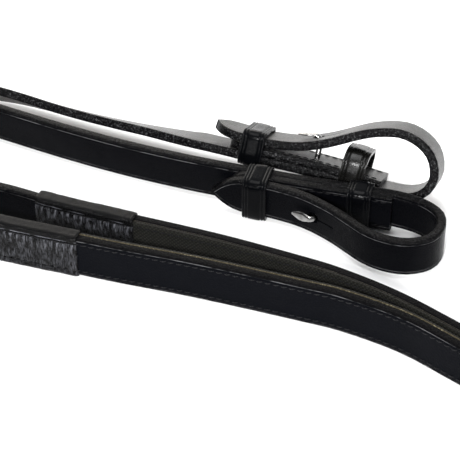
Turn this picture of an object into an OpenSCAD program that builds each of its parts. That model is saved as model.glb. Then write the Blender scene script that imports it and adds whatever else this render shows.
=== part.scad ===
// Pair of leather riding reins: hook stud bit ends, lined hand parts and a
// buckled centre. Both halves lie on a table, standing on edge, with the
// unused length wound into a round coil. Millimetres, +Z up.

/* [Straps] */
// Thickness of a plain strap
strap_t = 3.6; // [3:0.1:4]
// Width of a plain strap, 5/8 inch
strap_w = 16; // [14:0.5:16]
// Thickness of the leather of the hand part
hand_t = 3.4; // [3:0.1:3.6]
// Width of the hand part
hand_w = 17.5; // [17:0.5:18]
// Thickness of the rubbery lining of the hand part
lining_t = 1.3; // [1:0.1:1.5]
// Thickness of the sewn leather covers over the strap joins
cover_t = 1.1; // [0.8:0.1:1.2]
// Thickness of the strip that holds each hook stud
strip_t = 3; // [2.5:0.1:3.2]

/* [Keepers] */
// Thickness of a keeper's leather
keeper_t = 1.3; // [1:0.1:1.4]
// Length of a keeper along the strap
keeper_len = 9.5; // [8:0.5:10]

/* [Stations along each half] */
// Length of a front or rear cover
cover_len = 40; // [30:1:44]
// Length of the hand part between the middles of its covers
hand_len = 690; // [660:5:700]

/* [Buckle] */
// Radius of the buckle's wire
wire_r = 0.75; // [0.6:0.05:0.8]
// Distance from the heel bar to the front bar
buckle_len = 16; // [15:0.5:17]
// Clear height inside the buckle
buckle_in = 16.6; // [16.5:0.1:16.8]
// Play of the chape and the tongue round the heel bar
bar_play = 0.06; // [0.03:0.01:0.09]

/* [Hidden] */

// Height of the middle of every strap that stands on edge
mid_z = 9.9;

// Left rein, seen from above: round the billet's loop and back along the
// strap, which stands on edge: [x, y].
left_loop = [
  [-57, 35.5], [-47, 32.8], [-37, 29.6], [-29, 26.4], [-22, 22.8],
  [-16, 18.4], [-10.5, 13.5], [-4.7, 7.2], [1, 1.2], [7, -2.6],
  [14, -4.8], [21, -4.2], [26.5, -1], [29.5, 5], [29.5, 11],
  [26.5, 15.8], [21.5, 19.8], [14, 23.3], [5, 25.8], [-6, 28.6],
  [-19, 32], [-32, 35.6]
];
left_run = [
  [-50, 40.8], [-70, 47.2], [-94, 56.2], [-119, 67.3], [-144, 79.6],
  [-158, 86.5], [-171, 87], [-181, 79], [-185, 65], [-182, 51],
  [-173, 40.5], [-159, 34], [-138, 28], [-116, 18.6], [-92, 10],
  [-69, 2], [-50, -5], [-25, -15.5], [-10, -22.6], [10, -35.2],
  [28, -50], [44, -64], [58, -75.5]
];

// Right rein's loop lies on its side, in a plane that leans back. In that
// plane, along the strap and up from it: [a, b].
right_plane = [27.4, 34.9, 7.8];
right_heading = -17;
right_lean = 66;
right_loop = [
  [-88, 12.8], [-82, 11.6], [-76, 10.8], [-66, 10.2], [-55, 10.8],
  [-47.5, 12.4], [-40, 15], [-28, 20.4], [-21, 22.6], [-13.7, 23.6],
  [-8.2, 22.6], [-3.9, 20.5], [-0.3, 17.2], [1.9, 12.9], [2.5, 9.2],
  [1.6, 5], [-1.2, 1.4], [-5.5, -0.8], [-11, -1.6], [-19, -1.2],
  [-30, 0.2], [-46, 1.8], [-66, 2.8], [-80, 3.8]
];
// Right rein after its loop: [x, y, height of its middle, lean of its top
// edge to the left].
right_run = [
  [-62, 64.2, 11.8, 66], [-70, 68, 10.8, 62], [-82, 73.5, 9.7, 57],
  [-95, 79, 8.9, 54], [-108, 84.5, 8.5, 52], [-120, 89.8, 8.4, 50],
  [-133, 95.8, 8.5, 47], [-145, 100.3, 8.7, 43], [-160, 103.8, 9.1, 36],
  [-173, 99.5, 9.4, 29], [-184, 89.5, 9.6, 22], [-190, 74, 9.8, 16],
  [-191, 58, 9.9, 11], [-186, 41, 9.9, 6], [-176, 27, 9.9, 2],
  [-162, 16.5, 9.9, 0], [-147, 9.2, 9.9, 0], [-136, 5.2, 9.9, 0],
  [-113, -2, 9.9, 0], [-91, -8.8, 9.9, 0], [-69, -15, 9.9, 0],
  [-50, -21, 9.9, 0], [-24, -29.8, 9.9, 0], [-9, -35.3, 9.9, 0],
  [12, -46.8, 9.9, 0], [30, -61.6, 9.9, 0], [44, -73, 9.9, 0],
  [56, -82, 9.9, 0]
];

// The coil, as the way that the pair walks: [radius, degrees] for a turn,
// positive to the left, or [0, length] for a straight. It starts at
// coil_start with coil_heading.
coil_start = [73.5, -90.5];
coil_heading = -40;
pair_half = 3.8;
coil = [[70, 180], [63.8, 180], [57.6, 180], [51.4, 80], [28, 80]];
// What each strap does alone after the coil: the right one runs straight
// to the buckle and the left one bends round to meet it.
right_end = [[0, 32]];
left_end = [[20, 52], [0, 29.4], [-21, 232]];
// The left strap through the buckle, from the heel bar: [along, across].
left_tail = [
  [14, 4], [11, 2.2], [7.5, -1], [4, -4], [0, -5.4], [-4, -5],
  [-8, -4.5], [-12, -4.2], [-22, -4.2], [-34, -4.2]
];

// Length of each billet's point
point_len = 14;
// Stations from each billet's tip: middles of the front covers
left_front = 457;
right_front = 463;
// Ends of the stud strips, and the middles of the studs and keepers, on
// the strap behind each loop
left_strip = [131, 188.5];
left_stud = 159;
left_point_keeper = 184;
left_bit_keeper = 144;
right_strip = [127, 182.5];
right_stud = 155;
right_point_keeper = 180;
right_bit_keeper = 139;

// --- Paths ---

// Point of a Catmull-Rom curve between b and c
function blend(a, b, c, d, t) =
  0.5 * (2 * b + (c - a) * t + (2 * a - 5 * b + 4 * c - d) * t * t
  + (3 * b - a - 3 * c + d) * t * t * t);

// Smooth path through the points, about step apart
function smooth(p, step = 4) = let (n = len(p) - 1) concat([
  for (i = [0:n - 1])
    let (
      a = i > 0 ? p[i - 1] : 2 * p[0] - p[1],
      d = i < n - 1 ? p[i + 2] : 2 * p[n] - p[n - 1],
      k = max(1, round(norm(p[i + 1] - p[i]) / step))
    )
    for (j = [0:k - 1]) blend(a, p[i], p[i + 1], d, j / k)
], [p[n]]);

// Where one move of a walk ends: [x, y, heading]
function after(at, move) = move[0] == 0
  ? [at[0] + move[1] * cos(at[2]), at[1] + move[1] * sin(at[2]), at[2]]
  : let (turn = sign(move[0]) * move[1], r = move[0])
    [at[0] + r * (sin(at[2] + turn) - sin(at[2])),
     at[1] - r * (cos(at[2] + turn) - cos(at[2])), at[2] + turn];

// Where a whole walk is after its first n moves
function walked(at, moves, n) =
  n == 0 ? at : after(walked(at, moves, n - 1), moves[n - 1]);
function beside(s, off) = [s[0] - off * sin(s[2]), s[1] + off * cos(s[2]), s[2]];

// Points of a walk, set off to the left by off
function walk(at, moves, off = 0, step = 5) = concat([
  for (i = [0:len(moves) - 1])
    let (
      m = moves[i],
      s = walked(at, moves, i),
      long = m[0] == 0 ? m[1] : abs(m[0]) * m[1] * PI / 180,
      k = max(1, ceil(long / step))
    )
    for (j = [0:k - 1])
      let (q = beside(after(s, [m[0], m[1] * j / k]), off)) [q[0], q[1]]
], [let (q = beside(walked(at, moves, len(moves)), off)) [q[0], q[1]]]);

// A path is a list of [x, y, z, w], w being the direction of the width.
function standing(p) = [for (q = p) [q[0], q[1], mid_z, 0, 0, 1]];
function place(q) = [q[0], q[1], q[2]];
function width_way(q) = let (w = [q[3], q[4], q[5]]) w / norm(w);
function stations(p) = [
  for (i = 0, s = 0; i < len(p);
       s = s + (i < len(p) - 1 ? norm(place(p[i + 1]) - place(p[i])) : 0), i = i + 1) s
];
function at_station(p, st, s) = [
  for (k = [0:5]) lookup(s, [for (i = [0:len(p) - 1]) [st[i], p[i][k]]])
];
// The stretch of a path from station s0 to station s1
function stretch(p, s0, s1) = let (st = stations(p)) concat(
  [at_station(p, st, s0)],
  [for (i = [0:len(p) - 1]) if (st[i] > s0 + 0.8 && st[i] < s1 - 0.8) p[i]],
  [at_station(p, st, s1)]
);
// Direction of a path at its point i
function way(p, i) =
  let (d = place(p[min(i + 1, len(p) - 1)]) - place(p[max(i - 1, 0)])) d / norm(d);
// The side of a standing path, moved to the left by off
function side(p, off) = [
  for (i = [0:len(p) - 1]) let (d = way(p, i)) [p[i][0] - d[1] * off, p[i][1] + d[0] * off]
];
function back(p) = [for (i = [len(p) - 1:-1:0]) p[i]];
function heading(p) = let (d = way(p, 1)) atan2(d[1], d[0]);

// A strap on edge, between two offsets to the left of its path
module on_edge(p, from, to, width) {
  translate([0, 0, mid_z - width / 2])
    linear_extrude(width)
      polygon(concat(side(p, from), back(side(p, to))));
}

// The corners of a leaning strap's section at point i of its path
function section(p, i, from, to, width) =
  let (
    c = place(p[i]),
    w = width_way(p[i]) * width / 2,
    n = cross(width_way(p[i]), way(p, i)),
    u = n / norm(n)
  )
  [c + from * u - w, c + to * u - w, c + to * u + w, c + from * u + w];

// A strap that leans and twists along its path
module leaning(p, from, to, width) {
  n = len(p);
  polyhedron(
    [for (i = [0:n - 1]) each section(p, i, from, to, width)],
    concat(
      [[0, 1, 2, 3]],
      [for (i = [0:n - 2], k = [0:3])
        [4 * i + k, 4 * i + 4 + k, 4 * i + 4 + (k + 1) % 4, 4 * i + (k + 1) % 4]],
      [[4 * n - 1, 4 * n - 2, 4 * n - 3, 4 * n - 4]]
    )
  );
}

// --- The two reins ---

pair_state = [coil_start[0], coil_start[1], coil_heading];
coil_end = walked(pair_state, coil, len(coil));
left_split = beside(coil_end, pair_half);
right_split = beside(coil_end, -pair_half);
buckle_at = walked(right_split, right_end, len(right_end));
function from_buckle(p) = [
  buckle_at[0] + p[0] * cos(buckle_at[2]) - p[1] * sin(buckle_at[2]),
  buckle_at[1] + p[0] * sin(buckle_at[2]) + p[1] * cos(buckle_at[2])
];
left_entry = walk(pair_state, coil, pair_half);
left_bight = walk(left_split, left_end);
left_path = standing(concat(
  smooth(concat(left_loop, left_run, [left_entry[0]])),
  [for (i = [1:len(left_entry) - 1]) left_entry[i]],
  [for (i = [1:len(left_bight) - 2]) left_bight[i]],
  smooth(concat([left_bight[len(left_bight) - 1]], [for (q = left_tail) from_buckle(q)]))
));

// Axes of the right rein's leaning plane
plane_d = [cos(right_heading), sin(right_heading), 0];
plane_w = [
  sin(right_heading) * sin(right_lean), -cos(right_heading) * sin(right_lean),
  cos(right_lean)
];
plane_n = cross(plane_w, plane_d);
right_loop_path = [
  for (q = smooth(right_loop))
    concat(right_plane + q[0] * plane_d + q[1] * plane_n, plane_w)
];
right_entry = walk(pair_state, coil, -pair_half);
function leaned(p) = [
  for (i = [0:len(p) - 1])
    let (
      d = p[min(i + 1, len(p) - 1)] - p[max(i - 1, 0)],
      l = [-d[1], d[0]] / norm([d[0], d[1]]),
      t = p[i][3]
    )
    [p[i][0], p[i][1], p[i][2], sin(t) * l[0], sin(t) * l[1], cos(t)]
];
loop_out = right_loop_path[len(right_loop_path) - 1];
right_lead = leaned(smooth(concat(
  [[loop_out[0], loop_out[1], loop_out[2], right_lean]],
  right_run,
  [[right_entry[0][0], right_entry[0][1], mid_z, 0]]
)));
right_coil = standing(concat(right_entry, [from_buckle([0, 0])]));
right_path = concat(
  right_loop_path,
  [for (i = [1:len(right_lead) - 1]) right_lead[i]],
  [for (i = [1:len(right_coil) - 1]) right_coil[i]]
);

// The same loop in the plane's own frame
plane_path = [for (q = smooth(right_loop)) [q[0], q[1], 0, 0, 0, 1]];

function total(p) = let (st = stations(p)) st[len(st) - 1];
left_len = total(left_path);
right_len = total(right_path);
left_rear = left_front + hand_len;
right_rear = right_front + hand_len;
half_t = strap_t / 2;
half_hand = hand_t / 2;
half_cover = cover_len / 2;

// --- Shared pieces ---

// Puts its children on a path at station s: x along it, y to the left
module at(p, s) {
  translate(place(at_station(p, stations(p), s)))
    rotate([0, 0, heading(stretch(p, s - 1.5, s + 1.5))]) children();
}
// Puts its children on the right rein's leaning plane
module in_plane() {
  translate(right_plane) rotate([right_lean, 0, right_heading]) children();
}
// Puts its children on the buckle's heel bar
module at_buckle() {
  translate([buckle_at[0], buckle_at[1], mid_z]) rotate([0, 0, buckle_at[2]]) children();
}
// A disc that faces across a strap
module disc(r, from, to) {
  translate([0, from, 0]) rotate([-90, 0, 0]) cylinder(r = r, h = to - from, $fn = 48);
}
// The round end of a strap, a hair inside its faces
module round_end(from, to) {
  disc(strap_w / 2 - 0.03, from + 0.03, to - 0.03);
}
// A spear point, aimed back along the strap; a higher power is blunter
module pointed_end(from, to, power) {
  half = strap_w / 2 - 0.03;
  side = [for (t = [0.04 : 0.12 : 1]) [point_len * (t - 1), half * (1 - pow(1 - t, power))]];
  outline = concat(side, [[0.5, half], [0.5, -half]],
                   [for (i = [len(side) - 1 : -1 : 0]) [side[i][0], -side[i][1]]]);
  rotate([90, 0, 0])
    translate([0, 0, 0.03 - to]) linear_extrude(to - from - 0.06) polygon(outline);
}
module soft_square(from, to, width, r) {
  translate([from + r, -width / 2]) square([to - from - 2 * r, width]);
  translate([from, -width / 2 + r]) square([to - from, width - 2 * r]);
  for (x = [from + r, to - r], y = [-1, 1])
    translate([x, y * (width / 2 - r)]) circle(r = r, $fn = 32);
}
// A keeper round whatever lies between two offsets of a strap
module keeper(from, to, width) {
  rotate([90, 0, 90])
    linear_extrude(keeper_len, center = true)
      difference() {
        soft_square(from - keeper_t, to + keeper_t, width + 2 * keeper_t, 2);
        soft_square(from, to, width, 0.8);
      }
}
// A keeper whose free side stands up as a round loop
module loop_keeper(from, to, width, loop_r) {
  rotate([90, 0, 90])
    linear_extrude(keeper_len, center = true)
      difference() {
        union() {
          soft_square(from - keeper_t, to + keeper_t, width + 2 * keeper_t, loop_r + keeper_t);
          soft_square((from + to) / 2, to + keeper_t, width + 2 * keeper_t, 2);
        }
        soft_square(from, to, width, loop_r);
        soft_square((from + to) / 2 + 1, to, width, 0.8);
      }
}
// The hook stud, seated on the strap below its strip: a round foot, a
// stem, a bend and a leaf that slopes back along the billet.
foot_r = 3.4;
foot_t = 0.8;
stem_r = 1.15;
bend_r = 2.3;
leaf_len = 10;
leaf_t = 1.1;
module hook_stud(reach, slope) {
  disc(foot_r, 0, foot_t);
  disc(stem_r, 0, reach);
  translate([bend_r, reach, 0])
    rotate([0, 0, 90])
      rotate_extrude(angle = 90, $fn = 48) translate([bend_r, 0]) circle(r = stem_r, $fn = 24);
  translate([bend_r, reach + bend_r + leaf_t / 2, 0])
    rotate([0, 0, -slope]) translate([-bend_r, 0, 0]) rotate([90, 0, 0])
      linear_extrude(leaf_t)
        polygon([
          [1, -1.6], [3.5, -2.2], [7, -1.7], [leaf_len, -0.4],
          [leaf_len, 0.4], [7, 1.7], [3.5, 2.2], [1, 1.6]
        ]);
}
// What the stud needs to pass through: a hole and a slit
module stud_hole(from, to) {
  translate([1, 0, 0]) disc(2.3, from, to);
  translate([-8.5, from, -0.3]) cube([9, to - from, 0.6]);
}
module foot_seat() {
  disc(foot_r + 0.05, -0.1, foot_t + 0.05);
  disc(stem_r + 0.05, -0.1, strip_t + 0.2);
}
left_reach = 10.6;
left_slope = 17;
right_reach = 9.4;
right_slope = 11;

// --- Left rein ---

module left_bit_end_strap() {
  color("#1c1b1a")
    difference() {
      union() {
        on_edge(stretch(left_path, point_len, left_front), -half_t, half_t, strap_w);
        at(left_path, point_len) pointed_end(-half_t, half_t, 2.2);
      }
      at(left_path, left_stud) stud_hole(strip_t + 3, left_reach + 4);
    }
}
module left_stud_strip() {
  color("#211f1e")
    difference() {
      union() {
        on_edge(stretch(left_path, left_strip[0], left_strip[1]), half_t, half_t + strip_t,
                strap_w);
        at(left_path, left_strip[1]) round_end(half_t, half_t + strip_t);
      }
      at(left_path, left_stud) translate([0, half_t, 0]) foot_seat();
    }
}
module left_hook_stud() {
  color("#b9b9bc")
    at(left_path, left_stud) translate([0, half_t, 0]) hook_stud(left_reach, left_slope);
}
module left_point_keeper() {
  color("#1a1918")
    at(left_path, left_point_keeper) keeper(-half_t - 0.4, 9.8, strap_w + 0.2);
}
module left_bit_keeper() {
  color("#1a1918")
    at(left_path, left_bit_keeper) keeper(-half_t - 0.4, half_t + strip_t + 0.9, strap_w + 0.2);
}
module left_front_cover() {
  color("#232120")
    difference() {
      on_edge(stretch(left_path, left_front - half_cover, left_front + half_cover),
              -half_hand - lining_t - cover_t, half_hand + cover_t, hand_w + 2 * cover_t);
      on_edge(stretch(left_path, left_front - half_cover - 1, left_front), -half_t, half_t,
              strap_w);
      on_edge(stretch(left_path, left_front, left_front + half_cover + 1),
              -half_hand - lining_t, half_hand, hand_w);
    }
}
module left_hand_leather() {
  color("#1b1b1c")
    on_edge(stretch(left_path, left_front, left_rear), -half_hand, half_hand, hand_w);
}
module left_hand_lining() {
  color("#3b2a20")
    on_edge(stretch(left_path, left_front, left_rear), -half_hand - lining_t, -half_hand,
            hand_w - 0.4);
}
module left_rear_cover() {
  color("#232120")
    difference() {
      on_edge(stretch(left_path, left_rear - half_cover, left_rear + half_cover),
              -half_hand - lining_t - cover_t, half_hand + cover_t, hand_w + 2 * cover_t);
      on_edge(stretch(left_path, left_rear, left_rear + half_cover + 1), -half_t, half_t,
              strap_w);
      on_edge(stretch(left_path, left_rear - half_cover - 1, left_rear),
              -half_hand - lining_t, half_hand, hand_w);
    }
}
// The plain end that goes through the buckle, with spare holes
hole_pitch = 20;
tongue_hole = 42;
module left_centre_strap() {
  color("#1c1b1a")
    difference() {
      union() {
        on_edge(stretch(left_path, left_rear, left_len - 8), -half_t, half_t, strap_w);
        at(left_path, left_len - 8) round_end(-half_t, half_t);
      }
      at_buckle() translate([2.5, -3.9, -1.2]) cube([11.5, 4.2, 2.4]);
      for (i = [1, 2])
        at(left_path, left_len - tongue_hole - i * hole_pitch) disc(1.9, -3, 3);
    }
}

// --- Right rein ---

module right_bit_end_strap() {
  color("#1c1b1a")
    difference() {
      union() {
        leaning(stretch(right_path, point_len, right_front), -half_t, half_t, strap_w);
        in_plane() at(plane_path, point_len) pointed_end(-half_t, half_t, 4);
      }
      in_plane() at(plane_path, right_stud) mirror([0, 1, 0])
        stud_hole(strip_t + 3, right_reach + 4);
    }
}
module right_stud_strip() {
  p = stretch(plane_path, right_strip[0], right_strip[1]);
  color("#211f1e")
    in_plane() difference() {
      union() {
        translate([0, 0, -strap_w / 2]) linear_extrude(strap_w)
          polygon(concat(side(p, -half_t), back(side(p, -half_t - strip_t))));
        at(plane_path, right_strip[1]) round_end(-half_t - strip_t, -half_t);
      }
      at(plane_path, right_stud) mirror([0, 1, 0]) translate([0, half_t, 0]) foot_seat();
    }
}
module right_hook_stud() {
  color("#b9b9bc")
    in_plane() at(plane_path, right_stud) mirror([0, 1, 0])
      translate([0, half_t, 0]) hook_stud(right_reach, right_slope);
}
module right_point_keeper() {
  color("#1a1918")
    in_plane() at(plane_path, right_point_keeper) keeper(-9.8, half_t + 0.3, strap_w + 0.2);
}
module right_bit_keeper() {
  color("#1a1918")
    in_plane() at(plane_path, right_bit_keeper)
      loop_keeper(-12.3, half_t + 0.4, strap_w + 0.2, 5);
}
module right_front_cover() {
  color("#232120")
    difference() {
      on_edge(stretch(right_path, right_front - half_cover, right_front + half_cover),
              -half_hand - cover_t, half_hand + lining_t + cover_t, hand_w + 2 * cover_t);
      on_edge(stretch(right_path, right_front - half_cover - 1, right_front), -half_t, half_t,
              strap_w);
      on_edge(stretch(right_path, right_front, right_front + half_cover + 1),
              -half_hand, half_hand + lining_t, hand_w);
    }
}
module right_hand_leather() {
  color("#1b1b1c")
    on_edge(stretch(right_path, right_front, right_rear), -half_hand, half_hand, hand_w);
}
module right_hand_lining() {
  color("#3b2a20")
    on_edge(stretch(right_path, right_front, right_rear), half_hand, half_hand + lining_t,
            hand_w - 0.4);
}
module right_rear_cover() {
  color("#232120")
    difference() {
      on_edge(stretch(right_path, right_rear - half_cover, right_rear + half_cover),
              -half_hand - cover_t, half_hand + lining_t + cover_t, hand_w + 2 * cover_t);
      on_edge(stretch(right_path, right_rear, right_rear + half_cover + 1), -half_t, half_t,
              strap_w);
      on_edge(stretch(right_path, right_rear - half_cover - 1, right_rear),
              -half_hand, half_hand + lining_t, hand_w);
    }
}
// The chape: the strap's end turned round the heel bar
bar_y = 0.8;
chape_r = 2.7;
chape_len = 16.5;
module right_centre_strap() {
  color("#1c1b1a")
    difference() {
      union() {
        on_edge(stretch(right_path, right_rear, right_len - chape_len), -half_t, half_t, strap_w);
        at_buckle() {
          translate([0, 0, -strap_w / 2]) linear_extrude(strap_w)
            polygon([
              [-chape_len, half_t], [-chape_len + 4, bar_y + chape_r - 0.1],
              [0, bar_y + chape_r - 0.1], [0, -half_t], [-chape_len, -half_t]
            ]);
          translate([0, bar_y, -strap_w / 2]) cylinder(r = chape_r, h = strap_w, $fn = 48);
        }
      }
      at_buckle() {
        translate([0, bar_y, -strap_w])
          cylinder(r = wire_r + bar_play, h = 2 * strap_w, $fn = 48);
        translate([-3.4, -4, -1.5]) cube([8, 9, 3]);
      }
    }
}

// --- Buckle ---

side_z = buckle_in / 2 + wire_r;
module buckle_frame() {
  color("#b9b9bc")
    at_buckle() translate([0, bar_y, 0]) {
      for (x = [0, buckle_len]) {
        translate([x, 0, -side_z]) cylinder(r = wire_r, h = 2 * side_z, $fn = 32);
        for (z = [-side_z, side_z]) translate([x, 0, z]) sphere(r = wire_r, $fn = 32);
      }
      for (z = [-side_z, side_z])
        translate([0, 0, z]) rotate([0, 90, 0]) cylinder(r = wire_r, h = buckle_len, $fn = 32);
    }
}
tongue_r = 0.7;
tongue_len = 17.2;
tongue_y = -2 * wire_r - tongue_r + 0.45;
module buckle_tongue() {
  color("#c4c4c7")
    at_buckle() translate([0, bar_y, 0])
      difference() {
        union() {
          translate([0, 0, -1.2]) cylinder(r = 1.75, h = 2.4, $fn = 48);
          translate([0, tongue_y, 0]) rotate([0, 90, 0])
            cylinder(r = tongue_r, h = tongue_len, $fn = 32);
          translate([tongue_len, tongue_y, 0]) sphere(r = tongue_r, $fn = 32);
        }
        translate([0, 0, -3]) cylinder(r = wire_r + bar_play, h = 6, $fn = 48);
      }
}
fixed_x = -9.8;
running_x = -24;
module fixed_keeper() {
  color("#1a1918")
    at_buckle() translate([fixed_x, 0, 0]) keeper(-6.7, bar_y + chape_r + 0.1, strap_w + 0.2);
}
module running_keeper() {
  color("#1a1918")
    at_buckle() translate([running_x, 0, 0]) keeper(-6.4, half_t + 0.4, strap_w + 0.8);
}

left_bit_end_strap();
left_stud_strip();
left_hook_stud();
left_point_keeper();
left_bit_keeper();
left_front_cover();
left_hand_leather();
left_hand_lining();
left_rear_cover();
left_centre_strap();
right_bit_end_strap();
right_stud_strip();
right_hook_stud();
right_point_keeper();
right_bit_keeper();
right_front_cover();
right_hand_leather();
right_hand_lining();
right_rear_cover();
right_centre_strap();
buckle_frame();
buckle_tongue();
fixed_keeper();
running_keeper();
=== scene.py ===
"""Looks of the leather reins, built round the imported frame. Metres, +Z up."""

import math

import bmesh
import bpy
from mathutils import Matrix, Vector, noise


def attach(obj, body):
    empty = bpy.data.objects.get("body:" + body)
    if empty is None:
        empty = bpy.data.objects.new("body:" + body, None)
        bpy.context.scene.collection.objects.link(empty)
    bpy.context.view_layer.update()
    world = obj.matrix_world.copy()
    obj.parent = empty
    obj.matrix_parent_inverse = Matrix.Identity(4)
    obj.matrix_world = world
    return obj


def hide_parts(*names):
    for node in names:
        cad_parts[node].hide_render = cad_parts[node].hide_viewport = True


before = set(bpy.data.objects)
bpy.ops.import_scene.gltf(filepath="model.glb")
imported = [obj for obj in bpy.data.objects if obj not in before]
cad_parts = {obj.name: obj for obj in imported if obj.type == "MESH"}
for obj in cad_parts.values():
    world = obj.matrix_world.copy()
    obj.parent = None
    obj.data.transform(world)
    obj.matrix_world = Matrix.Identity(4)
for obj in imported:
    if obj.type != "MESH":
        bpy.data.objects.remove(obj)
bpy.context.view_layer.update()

# --- Sizes and stations, as in part.scad ------------------------------------------

MM = 0.001
MID_Z = 0.0099  # height of the middle of a strap that stands on edge
STRAP_T, STRAP_W = 0.0036, 0.016
HAND_T, HAND_W = 0.0034, 0.0175
LINING_T, COVER_T, STRIP_T = 0.0013, 0.0011, 0.0030
KEEPER_T, KEEPER_LEN = 0.0013, 0.0095
COVER_LEN, HAND_LEN = 0.040, 0.690
TIP_LEN, ROUND_LEN = 0.014, 0.008  # a billet's spear point, and a rounded end
POINT_FAR = 0.0098  # how far a point keeper reaches past the middle of the strap
BAR_Y, BUCKLE_LEN, BUCKLE_IN, WIRE_R = 0.0008, 0.016, 0.0166, 0.00075
CHAPE_LEN = 0.0165
OVERLAP = 0.001  # of a strap and the hand part, in the middle of a cover
FIXED_X, RUNNING_X = -0.0098, -0.024

# Each bit end: side is 1 where the billet lies to the left of the strap; front
# is the middle of the front cover; reach and slope are the stud's height and its
# leaf's fall in degrees; point and bit are the keepers' places; bit_far is how far
# the bit keeper reaches, and bit_round its far corners' radius where it stands
# open; a higher tip is blunter.
BIT_ENDS = {
    "left": {"side": 1, "front": 0.457, "strip": (0.131, 0.1965), "stud": 0.159,
             "reach": 0.0106, "slope": 17, "point": 0.184, "bit": 0.144, "bit_far": 0.0057,
             "bit_round": 0, "tip": 2.2},
    "right": {"side": -1, "front": 0.463, "strip": (0.127, 0.1905), "stud": 0.155,
              "reach": 0.0094, "slope": 11, "point": 0.180, "bit": 0.139, "bit_far": 0.0123,
              "bit_round": 0.0050, "tip": 4},
}

# Sewing: rows of stitches along the low and the top edge of a face
ROWS = (("low", -1), ("top", 1))
SEAM_IN, HAND_SEAM_IN = 0.0022, 0.0023  # from a strap's edge to its row
STITCH, STITCH_PITCH = 0.0024, 0.0031
COVER_STITCH, PLEAT = 0.0021, 0.0027  # a stitch, and the pleat that each one gathers
THREAD_R, SLANT = 0.00028, 8
SEAM_HEIGHT = MID_Z + HAND_W / 2 - SEAM_IN  # of a cover's top row

# --- Camera, floor and light --------------------------------------------------

LOOK_AT = Vector((-0.050, 0.020, 0.0019))
CAMERA_DISTANCE = 0.700
CAMERA_RISE = 40  # degrees above the table
LENS, SENSOR = 141.3, 36  # millimetres


def make_camera():
    """The photograph's view: a long lens from in front and above."""
    data = bpy.data.cameras.new("camera")
    data.lens = LENS
    data.sensor_width = SENSOR
    data.clip_start = 0.01
    camera = bpy.data.objects.new("camera", data)
    rise = math.radians(CAMERA_RISE)
    away = Vector((0, -math.cos(rise), math.sin(rise)))
    camera.location = LOOK_AT + CAMERA_DISTANCE * away
    camera.rotation_euler = (-away).to_track_quat("-Z", "Y").to_euler()
    bpy.context.collection.objects.link(camera)
    bpy.context.scene.camera = camera


# Name, place, what it points at, size, watts, colour
LIGHTS = (
    ("back_softbox", (-0.3, 1.2, 0.45), (0, 0, 0), (1.4, 0.4), 11, (1, 0.95, 0.87)),
    ("top_softbox", (-0.2, 0.1, 1.3), (0, 0, 0), (0.9, 0.6), 12, (1, 1, 1)),
    ("front_key", (-0.25, -1.0, 0.75), (0, 0, 0), (0.14, 0.14), 24, (1, 1, 1)),
    ("low_front", (-0.25, -1.2, 0.22), (-0.05, 0, 0), (1.3, 0.12), 6, (1, 1, 1)),
    ("side_strip", (1.0, -0.7, 0.5), (0, 0, 0), (0.10, 0.4), 9, (1, 1, 1)),
)


def area_light(name, place, aim, size, watts, colour):
    data = bpy.data.lights.new(name, "AREA")
    data.shape = "RECTANGLE"
    data.size, data.size_y = size
    data.energy = watts
    data.color = colour
    light = bpy.data.objects.new(name, data)
    light.location = place
    light.rotation_euler = (Vector(aim) - Vector(place)).to_track_quat("-Z", "Y").to_euler()
    bpy.context.collection.objects.link(light)


def make_lights():
    """A pale world, brighter behind the object than in front, and five lights."""
    world = bpy.data.worlds.new("studio")
    world.use_nodes = True
    tree = world.node_tree
    background = tree.nodes["Background"]
    background.inputs["Color"].default_value = (0.97, 0.98, 1.0, 1)
    direction = tree.nodes.new("ShaderNodeTexCoord")
    split = tree.nodes.new("ShaderNodeSeparateXYZ")
    fade = tree.nodes.new("ShaderNodeMapRange")
    tree.links.new(direction.outputs["Generated"], split.inputs[0])
    tree.links.new(split.outputs["Y"], fade.inputs["Value"])
    for key, number in (("From Min", -0.5), ("From Max", 0.8), ("To Min", 0.30), ("To Max", 1.15)):
        fade.inputs[key].default_value = number
    tree.links.new(fade.outputs[0], background.inputs["Strength"])
    bpy.context.scene.world = world
    for light in LIGHTS:
        area_light(*light)
    bpy.context.scene.view_settings.view_transform = "Standard"


def make_floor():
    """Plain white paper."""
    mesh = bpy.data.meshes.new("floor")
    half = 6.0  # metres
    corners = [(-half, -half, 0), (half, -half, 0), (half, half, 0), (-half, half, 0)]
    mesh.from_pydata(corners, [], [(0, 1, 2, 3)])
    floor = bpy.data.objects.new("floor", mesh)
    bpy.context.collection.objects.link(floor)
    material = bpy.data.materials.new("floor_paper")
    material.use_nodes = True
    shader = material.node_tree.nodes["Principled BSDF"]
    shader.inputs["Base Color"].default_value = (0.93, 0.93, 0.93, 1)
    shader.inputs["Roughness"].default_value = 0.9
    shader.inputs["Specular IOR Level"].default_value = 0.1
    mesh.materials.append(material)


# --- Materials ------------------------------------------------------------------


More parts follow.
